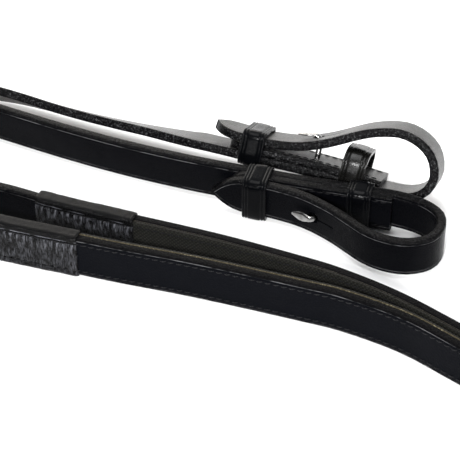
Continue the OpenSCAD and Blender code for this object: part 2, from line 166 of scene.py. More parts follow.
class Nodes:
    """Short calls for building one material's node tree."""

    def __init__(self, name):
        self.material = bpy.data.materials.new(name)
        self.material.use_nodes = True
        self.tree = self.material.node_tree
        self.shader = self.tree.nodes["Principled BSDF"]
        self.coords = self.add("ShaderNodeTexCoord")
        self.position = self.coords.outputs["Object"]
        self.along, self.across = self.split_uv()

    def add(self, kind, **settings):
        node = self.tree.nodes.new(kind)
        for key, value in settings.items():
            setattr(node, key, value)
        return node

    def link(self, source, target):
        self.tree.links.new(source, target)

    def put(self, socket, value):
        if isinstance(value, bpy.types.NodeSocket):
            self.link(value, socket)
        else:
            socket.default_value = value

    def split_uv(self):
        uv = self.add("ShaderNodeUVMap", uv_map="route")
        split = self.add("ShaderNodeSeparateXYZ")
        self.link(uv.outputs["UV"], split.inputs[0])
        return split.outputs[0], split.outputs[1]

    def math(self, operation, a, b=0.0):
        node = self.add("ShaderNodeMath", operation=operation)
        for socket, value in zip(node.inputs, (a, b)):
            self.put(socket, value)
        return node.outputs[0]

    def times(self, a, b):
        return self.math("MULTIPLY", a, b)

    def noise(self, scale, detail=3.0, rough=0.6, vector=None):
        node = self.add("ShaderNodeTexNoise")
        self.put(node.inputs["Vector"], vector or self.position)
        node.inputs["Scale"].default_value = scale
        node.inputs["Detail"].default_value = detail
        node.inputs["Roughness"].default_value = rough
        return node.outputs["Fac"]

    def cells(self, scale, vector=None):
        node = self.add("ShaderNodeTexVoronoi")
        self.put(node.inputs["Vector"], vector or self.position)
        node.inputs["Scale"].default_value = scale
        return node.outputs["Distance"]

    def ramp(self, value, low, high, out_low=0.0, out_high=1.0):
        node = self.add("ShaderNodeMapRange", clamp=True)
        self.put(node.inputs["Value"], value)
        for key, number in (("From Min", low), ("From Max", high), ("To Min", out_low),
                            ("To Max", out_high)):
            node.inputs[key].default_value = number
        return node.outputs[0]

    def mix(self, factor, a, b):
        node = self.add("ShaderNodeMix", data_type="RGBA")
        self.put(node.inputs["Factor"], factor)
        for key, value in (("A", a), ("B", b)):
            socket = [s for s in node.inputs if s.name == key and s.type == "RGBA"][0]
            self.put(socket, (*value, 1) if isinstance(value, tuple) else value)
        return [s for s in node.outputs if s.type == "RGBA"][0]

    def bump(self, height, depth, below=None):
        """A bump of that depth in metres, over one already made."""
        node = self.add("ShaderNodeBump")
        node.inputs["Strength"].default_value = 1.0
        node.inputs["Distance"].default_value = depth
        self.put(node.inputs["Height"], height)
        if below is not None:
            self.link(below, node.inputs["Normal"])
        return node.outputs["Normal"]

    def line(self, place, half_width):
        """1 along a line at that place across the strap, 0 elsewhere."""
        off = self.math("ABSOLUTE", self.math("SUBTRACT", self.across, place))
        return self.ramp(off, 0.0, half_width, 1.0, 0.0)

    def finish(self, colour, rough, normal, specular=0.5):
        self.put(self.shader.inputs["Base Color"], colour)
        self.put(self.shader.inputs["Roughness"], rough)
        self.shader.inputs["Specular IOR Level"].default_value = specular
        self.link(normal, self.shader.inputs["Normal"])
        return self.material


def leather(name, colour, worn, width, grain_depth, rough, specular, crease=0.0,
            grain=1500.0, pebbles=None, highlight_colour=None):
    """Dyed leather: grain, faint mottling, lighter, worn edges, and a line
    pressed at crease from each edge, with a painted highlight beside it. pebbles
    gives the grain's scale round and along a sleeve instead, and the highlight
    colour paints highlights below and over a sleeve's seam."""
    n = Nodes(name)
    half = width / 2
    mottle = n.noise(90.0, 4.0, 0.6)
    if pebbles:
        place = n.add("ShaderNodeCombineXYZ")
        n.link(n.times(n.along, pebbles[0]), place.inputs[0])
        n.link(n.times(n.across, pebbles[1]), place.inputs[1])
        grain_cells = n.cells(1.0, place.outputs[0])
    else:
        grain_cells = n.cells(grain)
    edge = n.ramp(n.math("ABSOLUTE", n.across), half - 0.9 * MM, half + 0.2 * MM)
    base = n.mix(mottle, colour, tuple(c * 1.5 for c in colour))
    base = n.mix(n.times(edge, 0.7), base, worn)
    if highlight_colour:
        base = painted_cover_highlights(n, base, grain_cells, highlight_colour)
    gloss = n.math("ADD", n.times(mottle, 0.7), n.times(grain_cells, 0.5))
    gloss = n.ramp(gloss, 0.2, 0.9, *rough)
    normal = n.bump(grain_cells, grain_depth)
    normal = n.bump(n.noise(grain * 1.7, 3.0, 0.7), grain_depth * 0.6, normal)
    normal = n.bump(n.noise(45.0, 2.0), 0.6 * MM, normal)
    if crease:
        place = half - crease
        groove = n.math("MAXIMUM", *(n.line(s * place, 0.32 * MM) for s in (-1, 1)))
        normal = n.bump(n.times(groove, -1.0), 0.40 * MM, normal)
        gloss = n.math("SUBTRACT", gloss, n.times(groove, 0.10))
        # A painted highlight, in patches, on the rim beside each line, fainter at the low one
        low, top = (n.line(s * (place + 0.22 * MM), 0.24 * MM) for s in (-1, 1))
        lip_highlight = n.math("MAXIMUM", top, n.times(low, 0.35))
        patch = n.ramp(n.noise(130.0, 3.0, 0.7), 0.40, 0.60)
        base = n.mix(n.times(lip_highlight, n.times(patch, 0.9)), base, (0.190, 0.190, 0.195))
    return n.finish(base, gloss, normal, specular)


def painted_cover_highlights(n, base, grain_cells, highlight_colour):
    """Painted highlights on a cover: on the raised grain below the seam, brightest on
    the pleat under each stitch, and along the rise over the seam."""
    split = n.add("ShaderNodeSeparateXYZ")
    n.link(n.position, split.inputs[0])
    height = split.outputs[2]
    under = n.ramp(height, SEAM_HEIGHT - 0.35 * MM, SEAM_HEIGHT + 0.05 * MM, 1.0, 0.0)
    # Painted highlights on the raised grain under the seam
    top_highlights = n.times(n.ramp(grain_cells, 0.10, 0.75, 1.0, 0.0),
                   n.ramp(n.noise(260.0, 3.0, 0.7), 0.35, 0.65))
    base = n.mix(n.times(top_highlights, under), base, highlight_colour)
    # Painted highlights on the pleat under each stitch
    wander = n.times(n.ramp(n.noise(240.0, 2.0), 0.2, 0.8), 1.3 * MM)
    wave = n.math("COSINE", n.times(n.math("ADD", n.across, wander), 2 * math.pi / PLEAT))
    fade = n.ramp(height, SEAM_HEIGHT - 5.25 * MM, SEAM_HEIGHT - 0.45 * MM)
    pleat = n.times(n.times(n.ramp(wave, 0.1, 1.0), fade), under)
    pleat = n.times(pleat, n.ramp(grain_cells, 0.15, 0.70, 1.0, 0.12))
    base = n.mix(pleat, base, tuple(c * 2.4 for c in highlight_colour))
    # A painted highlight along the rise over the seam, in patches
    off = n.math("ABSOLUTE", n.math("SUBTRACT", height, SEAM_HEIGHT + 1.0 * MM))
    ridge = n.times(n.ramp(off, 0.10 * MM, 0.35 * MM, 1.0, 0.0),
                    n.ramp(n.noise(190.0, 4.0, 0.7), 0.44, 0.62))
    return n.mix(ridge, base, tuple(c * 2.0 for c in highlight_colour))


def raw_edge(name, colour, dark, specular=0.07):
    """The cut, burnished edge of a strap: fibres along it, as light specks on a dark
    ground; on the strap and grip edges the light specks are painted highlights, on the
    lining and its core they are the fibres' own colour.
    """
    n = Nodes(name)
    fibre = n.noise(1300.0, 3.0, 0.7)
    patches = n.ramp(n.noise(150.0, 3.0, 0.6), 0.3, 0.65, 0.25, 1.0)
    # The light specks: painted highlights on the strap and grip edges
    base = n.mix(n.times(n.ramp(fibre, 0.54, 0.67), patches), dark, colour)
    normal = n.bump(fibre, 0.30 * MM)
    return n.finish(base, n.ramp(fibre, 0.3, 0.7, 0.20, 0.45), normal, specular)


def pimpled(name, colour, light):
    """Grip lining: rows of small raised pips on a dull ground, the pips lighter in blotches."""
    n = Nodes(name)
    pitch = 1.6 * MM
    waves = [n.math("COSINE", n.times(way, 2 * math.pi / pitch)) for way in (n.along, n.across)]
    pip = n.ramp(n.times(*waves), 0.1, 0.75)
    blotches = n.noise(300.0, 4.0, 0.7)
    base = n.mix(n.times(pip, blotches), colour, light)
    normal = n.bump(pip, 0.45 * MM)
    normal = n.bump(n.noise(2500.0), 0.05 * MM, normal)
    return n.finish(base, n.ramp(blotches, 0.2, 0.8, 0.55, 0.8), normal, 0.15)


def nickel(name):
    """Polished nickel plate with faint scratches and dull spots."""
    n = Nodes(name)
    smears = n.noise(350.0, 4.0, 0.7)
    scratch = n.add("ShaderNodeMapping")
    n.link(n.position, scratch.inputs["Vector"])
    scratch.inputs["Scale"].default_value = (900, 900, 9000)
    lines = n.noise(1.0, 2.0, 0.5, scratch.outputs[0])
    n.shader.inputs["Metallic"].default_value = 1.0
    base = n.mix(n.ramp(smears, 0.35, 0.7), (0.16, 0.155, 0.15), (0.36, 0.36, 0.355))
    normal = n.bump(lines, 0.012 * MM)
    return n.finish(base, n.ramp(smears, 0.3, 0.75, 0.10, 0.26), normal)


def thread_material(name, colour):
    """Waxed thread: its plies as slanting bands."""
    n = Nodes(name)
    ply = n.add("ShaderNodeTexWave", wave_type="BANDS", bands_direction="DIAGONAL")
    n.link(n.position, ply.inputs["Vector"])
    ply.inputs["Scale"].default_value = 900.0
    ply.inputs["Distortion"].default_value = 1.0
    bands = ply.outputs["Fac"]
    base = n.mix(bands, tuple(c * 0.5 for c in colour), colour)
    return n.finish(base, n.ramp(bands, 0, 1, 0.45, 0.7), n.bump(bands, 0.08 * MM), 0.16)


# --- Routes ---------------------------------------------------------------------
# The same points as part.scad's: [x, y], and for the right rein's twisting
# part [x, y, height, lean of the top edge to the left in degrees].

LEFT_LOOP = [
    (-0.057, 0.0355), (-0.047, 0.0328), (-0.037, 0.0296), (-0.029, 0.0264), (-0.022, 0.0228),
    (-0.016, 0.0184), (-0.0105, 0.0135), (-0.0047, 0.0072), (0.001, 0.0012), (0.007, -0.0026),
    (0.014, -0.0048), (0.021, -0.0042), (0.0265, -0.001), (0.0295, 0.005), (0.0295, 0.011),
    (0.0265, 0.0158), (0.0215, 0.0198), (0.014, 0.0233), (0.005, 0.0258), (-0.006, 0.0286),
    (-0.019, 0.032), (-0.032, 0.0356),
]
LEFT_RUN = [
    (-0.05, 0.0408), (-0.07, 0.0472), (-0.094, 0.0562), (-0.119, 0.0673), (-0.144, 0.0796),
    (-0.158, 0.0865), (-0.171, 0.087), (-0.181, 0.079), (-0.185, 0.065), (-0.182, 0.051),
    (-0.173, 0.0405), (-0.159, 0.034), (-0.138, 0.028), (-0.116, 0.0186), (-0.092, 0.01),
    (-0.069, 0.002), (-0.05, -0.005), (-0.025, -0.0155), (-0.01, -0.0226), (0.01, -0.0352),
    (0.028, -0.05), (0.044, -0.064), (0.058, -0.0755),
]
RIGHT_LOOP = [
    (-0.088, 0.0128), (-0.082, 0.0116), (-0.076, 0.0108), (-0.066, 0.0102), (-0.055, 0.0108),
    (-0.0475, 0.0124), (-0.04, 0.015), (-0.028, 0.0204), (-0.021, 0.0226), (-0.0137, 0.0236),
    (-0.0082, 0.0226), (-0.0039, 0.0205), (-0.0003, 0.0172), (0.0019, 0.0129), (0.0025, 0.0092),
    (0.0016, 0.005), (-0.0012, 0.0014), (-0.0055, -0.0008), (-0.011, -0.0016), (-0.019, -0.0012),
    (-0.03, 0.0002), (-0.046, 0.0018), (-0.066, 0.0028), (-0.08, 0.0038),
]
RIGHT_RUN = [
    (-0.062, 0.0642, 0.0118, 66), (-0.07, 0.068, 0.0108, 62), (-0.082, 0.0735, 0.0097, 57),
    (-0.095, 0.079, 0.0089, 54), (-0.108, 0.0845, 0.0085, 52), (-0.12, 0.0898, 0.0084, 50),
    (-0.133, 0.0958, 0.0085, 47), (-0.145, 0.1003, 0.0087, 43), (-0.16, 0.1038, 0.0091, 36),
    (-0.173, 0.0995, 0.0094, 29), (-0.184, 0.0895, 0.0096, 22), (-0.19, 0.074, 0.0098, 16),
    (-0.191, 0.058, 0.0099, 11), (-0.186, 0.041, 0.0099, 6), (-0.176, 0.027, 0.0099, 2),
    (-0.162, 0.0165, 0.0099, 0), (-0.147, 0.0092, 0.0099, 0), (-0.136, 0.0052, 0.0099, 0),
    (-0.113, -0.002, 0.0099, 0), (-0.091, -0.0088, 0.0099, 0), (-0.069, -0.015, 0.0099, 0),
    (-0.05, -0.021, 0.0099, 0), (-0.024, -0.0298, 0.0099, 0), (-0.009, -0.0353, 0.0099, 0),
    (0.012, -0.0468, 0.0099, 0), (0.03, -0.0616, 0.0099, 0), (0.044, -0.073, 0.0099, 0),
    (0.056, -0.082, 0.0099, 0),
]
LEFT_TAIL = [
    (0.014, 0.004), (0.011, 0.0022), (0.0075, -0.001), (0.004, -0.004), (0, -0.0054),
    (-0.004, -0.005), (-0.008, -0.0045), (-0.012, -0.0042), (-0.022, -0.0042), (-0.034, -0.0042),
]
RIGHT_PLANE = Vector((0.0274, 0.0349, 0.0078))
RIGHT_HEADING = -17
RIGHT_LEAN = 66
COIL_START = (0.0735, -0.0905, -40)
COIL = [(0.070, 180), (0.0638, 180), (0.0576, 180), (0.0514, 80), (0.028, 80)]
PAIR_HALF = 0.0038
RIGHT_END = [(0, 0.032)]
LEFT_END = [(0.020, 52), (0, 0.0294), (-0.021, 232)]


def smooth(points):
    """A Catmull-Rom curve through the points."""
    p = [Vector(q) for q in points]
    out, step = [], 0.0025
    for i in range(len(p) - 1):
        a = p[i - 1] if i else 2 * p[0] - p[1]
        b, c = p[i], p[i + 1]
        d = p[i + 2] if i + 2 < len(p) else 2 * p[-1] - p[-2]
        count = max(1, round((c - b).length / step))
        for j in range(count):
            t = j / count
            out.append(0.5 * (2 * b + (c - a) * t + (2 * a - 5 * b + 4 * c - d) * t * t
                              + (3 * b - a - 3 * c + d) * t * t * t))
    return out + [p[-1]]


def after(state, move):
    """Where a move of (radius, degrees) or (0, distance) leads from a place and heading."""
    x, y, heading = state
    radius, amount = move
    h = math.radians(heading)
    if radius == 0:
        return x + amount * math.cos(h), y + amount * math.sin(h), heading
    turn = heading + math.copysign(amount, radius)
    k = math.radians(turn)
    return (x + radius * (math.sin(k) - math.sin(h)),
            y - radius * (math.cos(k) - math.cos(h)), turn)


def beside(state, off):
    """The place and heading that far to the left."""
    h = math.radians(state[2])
    return state[0] - off * math.sin(h), state[1] + off * math.cos(h), state[2]


def walk(state, moves, off=0.0):
    """The points of a walk of turns and straights, set off to its left, and
    where the walk ends."""
    out, step = [], 0.004
    for radius, amount in moves:
        long = amount if radius == 0 else abs(radius) * math.radians(amount)
        count = max(1, math.ceil(long / step))
        for j in range(count):
            out.append(beside(after(state, (radius, amount * j / count)), off)[:2])
        state = after(state, (radius, amount))
    return out + [beside(state, off)[:2]], state


class Route:
    """Places along a strap, with the direction of its width at each."""

    def __init__(self, places, widths):
        self.places, self.widths = places, widths
        self.stations = [0.0]
        for a, b in zip(places, places[1:]):
            self.stations.append(self.stations[-1] + (b - a).length)
        self.length = self.stations[-1]

    def _mix(self, items, s):
        """The item at station s, in a straight line past either end."""
        low, high = 0, len(self.stations) - 1
        while high - low > 1:
            mid = (low + high) // 2
            if self.stations[mid] <= s:
                low = mid
            else:
                high = mid
        t = (s - self.stations[low]) / (self.stations[high] - self.stations[low])
        return items[low] + (items[high] - items[low]) * t

    def at(self, s):
        """Place, direction along, direction to the left, direction of the width."""
        reach = 0.002
        along = self._mix(self.places, s + reach) - self._mix(self.places, s - reach)
        along.normalize()
        width = self._mix(self.widths, s).normalized()
        left = width.cross(along).normalized()
        return self._mix(self.places, s), along, left, along.cross(left)


def standing(points):
    """The route of a strap that stands on edge along points in plan."""
    return Route([Vector((x, y, MID_Z)) for x, y in points], [Vector((0, 0, 1))] * len(points))


pair_end = walk(COIL_START, COIL)[1]
buckle_state = walk(beside(pair_end, -PAIR_HALF), RIGHT_END)[1]
BUCKLE = Matrix.Translation((buckle_state[0], buckle_state[1], MID_Z)) @ Matrix.Rotation(
    math.radians(buckle_state[2]), 4, "Z")


def from_buckle(x, y):
    """The place in plan of a point given in the buckle's frame."""
    p = BUCKLE @ Vector((x, y, 0))
    return p.x, p.y


def left_route():
    """From the billet's tip round the loop, the coil and the bight to the buckle."""
    entry = walk(COIL_START, COIL, PAIR_HALF)[0]
    bight = walk(beside(pair_end, PAIR_HALF), LEFT_END)[0]
    lead = smooth(LEFT_LOOP + LEFT_RUN + [entry[0], entry[1]])[:-2]
    tail = smooth([bight[-2], bight[-1]] + [from_buckle(*p) for p in LEFT_TAIL])[2:]
    return standing([tuple(q) for q in lead] + entry[1:] + bight[1:-1] + [tuple(q) for q in tail])


def right_route():
    """The same for the right rein, whose loop leans and whose strap then rights itself."""
    heading, lean = math.radians(RIGHT_HEADING), math.radians(RIGHT_LEAN)
    along = Vector((math.cos(heading), math.sin(heading), 0))
    width = Vector((math.sin(heading) * math.sin(lean), -math.cos(heading) * math.sin(lean),
                    math.cos(lean)))
    up = width.cross(along)
    entry = walk(COIL_START, COIL, -PAIR_HALF)[0]
    loop = [RIGHT_PLANE + a * along + b * up for a, b in RIGHT_LOOP]
    points = [(*p, RIGHT_LEAN) for p in loop] + RIGHT_RUN
    points += [(*entry[0], MID_Z, 0), (*entry[1], MID_Z, 0)]
    curve = smooth(points)[:-2]
    places = [Vector(q[:3]) for q in curve]
    widths = []
    for i, q in enumerate(curve):
        step = places[min(i + 1, len(places) - 1)] - places[max(i - 1, 0)]
        left = Vector((-step.y, step.x, 0)).normalized()
        t = math.radians(q[3])
        leaning = math.sin(t) * left + math.cos(t) * Vector((0, 0, 1))
        widths.append(width if q[3] > RIGHT_LEAN - 0.01 else leaning)
    rest = entry[1:] + [from_buckle(-0.016, 0), from_buckle(0, 0)]
    places += [Vector((x, y, MID_Z)) for x, y in rest]
    widths += [Vector((0, 0, 1))] * len(rest)
    return Route(places, widths)


# --- Making meshes ------------------------------------------------------------


def finish_mesh(name, verts, faces, uvs, marks, materials, body, nodes=(),
                smooth_angle=40):
    """An object from vertices, faces, a (along, across) pair per vertex and a
    material number per face, riding on a body. It replaces those CAD nodes."""
    mesh = bpy.data.meshes.new(name)
    mesh.from_pydata(verts, [], faces)
    layer = mesh.uv_layers.new(name="route")
    for polygon in mesh.polygons:
        polygon.material_index = marks[polygon.index]
        for loop in polygon.loop_indices:
            layer.data[loop].uv = uvs[mesh.loops[loop].vertex_index]
    for material in materials:
        mesh.materials.append(material)
    work = bmesh.new()
    work.from_mesh(mesh)
    bmesh.ops.recalc_face_normals(work, faces=work.faces)
    work.to_mesh(mesh)
    work.free()
    obj = bpy.data.objects.new(name, mesh)
    bpy.context.collection.objects.link(obj)
    mesh.shade_smooth()
    mesh.set_sharp_from_angle(angle=math.radians(smooth_angle))
    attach(obj, body)
    if nodes:
        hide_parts(*nodes)
    return obj


def strap_profile(from_u, to_u, width, radius, steps=3):
    """A strap's section as (across the thickness, across the width, mark):
    rounded corners, mark 0 on the faces and 1 on the cut edges."""
    inner = width / 2 - radius
    out, columns = [], 8
    for cu, cv, start in ((to_u - radius, inner, 0), (from_u + radius, inner, 90),
                          (from_u + radius, -inner, 180), (to_u - radius, -inner, 270)):
        for j in range(steps + 1):
            a = math.radians(start + 90 * j / steps)
            out.append((cu + radius * math.cos(a), cv + radius * math.sin(a), 1))
        if start in (90, 270):
            u, _, _ = out[-1]
            out[-1] = (u, cv, 0)
            out += [(u, cv * (1 - 2 * j / columns), 0) for j in range(1, columns)]
    return out


def sweep(name, route, start, end, profile, materials, nodes=(), slot=None, step=0.003,
          shape=None, ends=(0, 0), point=None):
    """A strap from start to end along a route, of a face and an edge material.
    shape(s, u, v) may move a point of the section; ends says how long a rounded
    tip each end has, and point makes the first one a spear point."""
    half = max(v for _, v, _ in profile)
    first, last = start + ends[0], end - ends[1]
    count, tip_steps = max(1, round((last - first) / step)), 8
    turns = [math.pi / 2 * k / tip_steps for k in range(tip_steps + 1)]
    stations = [first + (last - first) * j / count for j in range(count + 1)]
    if ends[0]:
        stations[:0] = [start + ends[0] * (1 - math.cos(turn)) for turn in turns[:-1]]
    if ends[1]:
        stations += [last + ends[1] * math.sin(turn) for turn in turns[1:]]
    verts, uvs = [], []
    for s in stations:
        place, _, left, width = route.at(s)
        scale = 1.0
        if ends[0] and s < first:
            far = (first - s) / ends[0]
            scale = 1 - far**point if point else math.sqrt(max(0.0, 1 - far**2))
        if ends[1] and s > last:
            scale = math.sqrt(max(0.0, 1 - ((s - last) / ends[1]) ** 2))
        scale = max(scale, 0.06)
        for u, v, _ in profile:
            v = v * scale
            if shape:
                u, v = shape(s, u, v)
            verts.append(place + u * left + v * width)
            across = v if scale >= 1 else math.copysign(half - (half * scale - abs(v)), v or 1)
            uvs.append((s, across))
    m, n = len(profile), len(stations)
    faces, marks = [], []
    for i in range(n - 1):
        for j in range(m):
            k = (j + 1) % m
            faces.append((i * m + j, i * m + k, (i + 1) * m + k, (i + 1) * m + j))
            marks.append(profile[j][2])
    faces += [tuple(range(m)), tuple((n - 1) * m + j for j in reversed(range(m)))]
    return finish_mesh(name, verts, faces, uvs, marks + [1, 1], materials, "leather", nodes)


def rounded_outline(u0, u1, half, radius, gap=0.0012, radius_far=None):
    """Points round a rectangle with rounded corners, each with its outward
    direction: (u, v, out_u, out_v). v runs from -half to half, gap is the
    distance between points on its sides, and radius_far rounds the corners at u1."""
    far = radius if radius_far is None else radius_far
    out = []
    for cu, cv, start, r in ((u1 - far, half - far, 0, far),
                             (u0 + radius, half - radius, 90, radius),
                             (u0 + radius, radius - half, 180, radius),
                             (u1 - far, far - half, 270, far)):
        steps = max(4, round(r * math.pi / 2 / 0.0006))
        for j in range(steps + 1):
            a = math.radians(start + 90 * j / steps)
            out.append((cu + r * math.cos(a), cv + r * math.sin(a), math.cos(a), math.sin(a)))
    filled = []
    for i, p in enumerate(out):
        q = out[(i + 1) % len(out)]
        filled.append(p)
        extra = int(math.hypot(q[0] - p[0], q[1] - p[1]) / gap)
        for j in range(1, extra):
            t = j / extra
            filled.append(tuple(a + (b - a) * t for a, b in zip(p, q)))
    return filled


def crown(a, k, u, _v):
    """A keeper's swell between two pressed lines at each rim."""
    half, line_depth, line_width = KEEPER_LEN / 2, 0.28 * MM, 0.28 * MM
    rise = 0.22 * MM * (1 - (a / half) ** 2)
    rise += 0.08 * MM * noise.noise(Vector((a * 300, k * 150, u * 90)))
    for place in (half - 1.0 * MM, half - 2.1 * MM):
        rise -= line_depth * math.exp(-(((abs(a) - place) / line_width) ** 2))
    return rise


def band(name, route, station, outline, length, thick, material, node, lift, rings,
         body="leather"):
    """A keeper or cover: a strip of leather of that length along the route,
    wrapped round an outline. lift(a, k, u, v) is the height added to its
    outside, where a runs along the route and k round the outline."""
    half, r = length / 2, min(0.0004, thick * 0.35)
    section = [(-half, r * 0.6)]
    section += [(-half + r * 0.3, thick - r * 0.3), (-half + r, thick)]
    section += [(-half + r + (length - 2 * r) * j / rings, thick) for j in range(1, rings)]
    section += [(half - r, thick), (half - r * 0.3, thick - r * 0.3), (half, r * 0.6), (half, 0)]
    section += [(0, 0), (-half, 0)]
    verts, uvs = [], []
    total = 0.0
    m, n = len(section), len(outline)
    for k, (u, v, nu, nv) in enumerate(outline):
        if k:
            total += math.hypot(u - outline[k - 1][0], v - outline[k - 1][1])
        for a, d in section:
            place, _, left, width = route.at(station + a)
            rise = lift(a, total, u, v) * min(1.0, d / thick)
            verts.append(place + (u + nu * (d + rise)) * left + (v + nv * (d + rise)) * width)
            uvs.append((total, a))
    faces = []
    for k in range(n):
        for j in range(m):
            a, b = k * m, ((k + 1) % n) * m
            i = (j + 1) % m
            faces.append((a + j, a + i, b + i, b + j))
    return finish_mesh(name, verts, faces, uvs, [0] * len(faces), [material], body, [node],
                       55)


def stitches(name, route, start, end, u, v, side, pitch=STITCH_PITCH, long=STITCH):
    """A row of thread stitches lying on a face at offset u, across at v;
    side is 1 if the face looks left."""
    rows, around = 5, 6
    verts, faces, uvs = [], [], []
    count = int((end - start) / pitch)
    for i in range(count):
        place, along, left, width = route.at(start + (i + 0.5) * pitch)
        out = left * side
        lie = (Matrix.Rotation(math.radians(SLANT), 3, out) @ along).normalized()
        flat = out.cross(lie)
        base = len(verts)
        for j in range(rows):
            t = -1 + 2 * j / (rows - 1)
            fat = THREAD_R * (1.0 - 0.45 * t * t)
            centre = (place + u * left + v * width + lie * (t * long / 2)
                      + out * (THREAD_R * 0.55 * (1 - 1.8 * t * t)))
            for k in range(around):
                a = 2 * math.pi * k / around
                verts.append(centre + flat * (fat * math.cos(a)) + out * (fat * math.sin(a)))
                uvs.append((i * pitch, v))
        for j in range(rows - 1):
            for k in range(around):
                q = (k + 1) % around
                faces.append((base + j * around + k, base + j * around + q,
                              base + (j + 1) * around + q, base + (j + 1) * around + k))
        faces.append(tuple(base + k for k in range(around)))
        faces.append(tuple(base + (rows - 1) * around + k for k in reversed(range(around))))
    return finish_mesh(name, verts, faces, uvs, [0] * len(faces), [thread], "leather")


def cut(obj, cutters):
    """Cuts the cutters' shapes out of obj, and removes them."""
    bpy.context.view_layer.objects.active = obj
    for cutter in cutters:
        modifier = obj.modifiers.new("cut", "BOOLEAN")
        modifier.operation = "DIFFERENCE"
        modifier.solver = "MANIFOLD"
        modifier.object = cutter
        bpy.ops.object.modifier_apply(modifier=modifier.name)
        bpy.data.objects.remove(cutter, do_unlink=True)


def cutter(matrix, centre, size):
    """A cutting shape in a frame: a box (x, y, z sizes) or a round (radius, depth) along y."""
    work = bmesh.new()
    if len(size) == 3:
        bmesh.ops.create_cube(work, size=1, matrix=Matrix.Diagonal((*size, 1)))
    else:
        bmesh.ops.create_cone(work, cap_ends=True, segments=24, radius1=size[0],
                              radius2=size[0], depth=size[1],
                              matrix=Matrix.Rotation(math.pi / 2, 4, "X"))
    mesh = bpy.data.meshes.new("cutter")
    work.to_mesh(mesh)
    work.free()
    obj = bpy.data.objects.new("cutter", mesh)
    obj.matrix_world = matrix @ Matrix.Translation(centre)
    bpy.context.collection.objects.link(obj)
    bpy.context.view_layer.update()
    return obj


def frame_at(route, s, side=1, lift=0.0):
    """A frame at station s: x along the strap, y to its left (or right for side
    -1), z its width, and its origin that far along y."""
    place, along, left, _ = route.at(s)
    out = left * side
    m = Matrix((along, out, along.cross(out))).transposed().to_4x4()
    m.translation = place + out * lift
    return m


def straight(length):
    """A straight route that ends at the buckle's heel bar."""
    return Route([BUCKLE @ Vector((x, 0, 0)) for x in (-length, 0)], [Vector((0, 0, 1))] * 2)


def tube(name, matrix, centres, body, node, closed=False):
    """A metal tube through centres: (place, half width in z, half thickness) in
    the frame matrix; its width lies along z where it is flat."""
    verts, uvs = [], []
    n, around = len(centres), 14
    for i, (p, wide, thick) in enumerate(centres):
        p = Vector(p)
        before = Vector(centres[(i - 1) % n][0]) if closed or i else p
        later = Vector(centres[(i + 1) % n][0]) if closed or i < n - 1 else p
        along = (later - before).normalized()
        axis = Vector((0, 0, 1)) if abs(along.z) < 0.9 else Vector((0, 1, 0))
        if closed:
            axis = Vector((0, 1, 0))
        flat = (axis - along * axis.dot(along)).normalized()
        out = along.cross(flat)
        for k in range(around):
            a = 2 * math.pi * k / around
            c, s = math.cos(a), math.sin(a)
            verts.append(matrix @ (p + flat * (wide * c) + out * (thick * s)))
            uvs.append((i * 0.001, 0.0))
    faces = []
    for i in range(n if closed else n - 1):
        for k in range(around):
            q = (k + 1) % around
            a, b = i * around, ((i + 1) % n) * around
            faces.append((a + k, a + q, b + q, b + k))
    if not closed:
        faces.append(tuple(range(around)))
        faces.append(tuple((n - 1) * around + k for k in reversed(range(around))))
    return finish_mesh(name, verts, faces, uvs, [0] * len(faces), [metal], body, [node],
                       60)


# --- The scene --------------------------------------------------------------------

make_camera()
make_lights()
make_floor()

left, right = left_route(), right_route()

# Lit and shaded copies of one strap leather: the right rein's faces lie towards the
# light, so its lighter, warmer colour and its edges' brighter specks are painted light,
# and it is a little glossier; the left rein's darker, bluer copy is painted shade.
EDGE = (0.008, 0.0075, 0.007)
near_face_shaded = leather("strap_leather_near_shaded", (0.0010, 0.0011, 0.0016), EDGE, STRAP_W, 0.06 * MM,
                    (0.20, 0.36), 0.025, crease=1.8 * MM, grain=1900.0)
far_face_lit = leather("strap_leather_far_lit", (0.0060, 0.0056, 0.0050), EDGE, STRAP_W, 0.07 * MM,
                   (0.28, 0.46), 0.24, crease=1.8 * MM, grain=1900.0)
near_edge_shaded = raw_edge("strap_edge_near_shaded", (0.019, 0.019, 0.020), (0.0010, 0.0010, 0.0012), 0.045)
far_edge_lit = raw_edge("strap_edge_far_lit", (0.068, 0.068, 0.070), (0.0008, 0.0008, 0.0010), 0.05)
hand_face = leather("hand_leather", (0.0009, 0.0011, 0.0018), (0.006, 0.006, 0.007), HAND_W,
                    0.07 * MM, (0.30, 0.46), 0.022, crease=1.0 * MM)
hand_edge = raw_edge("hand_edge", (0.006, 0.006, 0.007), (0.0010, 0.0010, 0.0012), 0.02)
lining_face = pimpled("hand_lining", (0.0055, 0.0055, 0.0045), (0.026, 0.025, 0.019))
lining_edge = raw_edge("lining_edge", (0.014, 0.013, 0.010), (0.004, 0.004, 0.003))
lining_core = raw_edge("lining_core", (0.235, 0.205, 0.125), (0.034, 0.028, 0.016))
dark_core = raw_edge("dark_core", (0.030, 0.026, 0.018), (0.006, 0.005, 0.004))
keeper_face = leather("keeper_leather", (0.0009, 0.0010, 0.0013), (0.006, 0.006, 0.0065),
                      KEEPER_LEN, 0.03 * MM, (0.12, 0.22), 0.05, grain=2100.0)
# A lit copy of the keeper leather for the open bit keeper: its lighter colour is painted light
open_keeper_face_lit = leather("open_keeper_leather_lit", (0.0018, 0.0017, 0.0015),
                           (0.006, 0.006, 0.0055), KEEPER_LEN, 0.03 * MM, (0.20, 0.32), 0.22,
                           grain=2100.0)
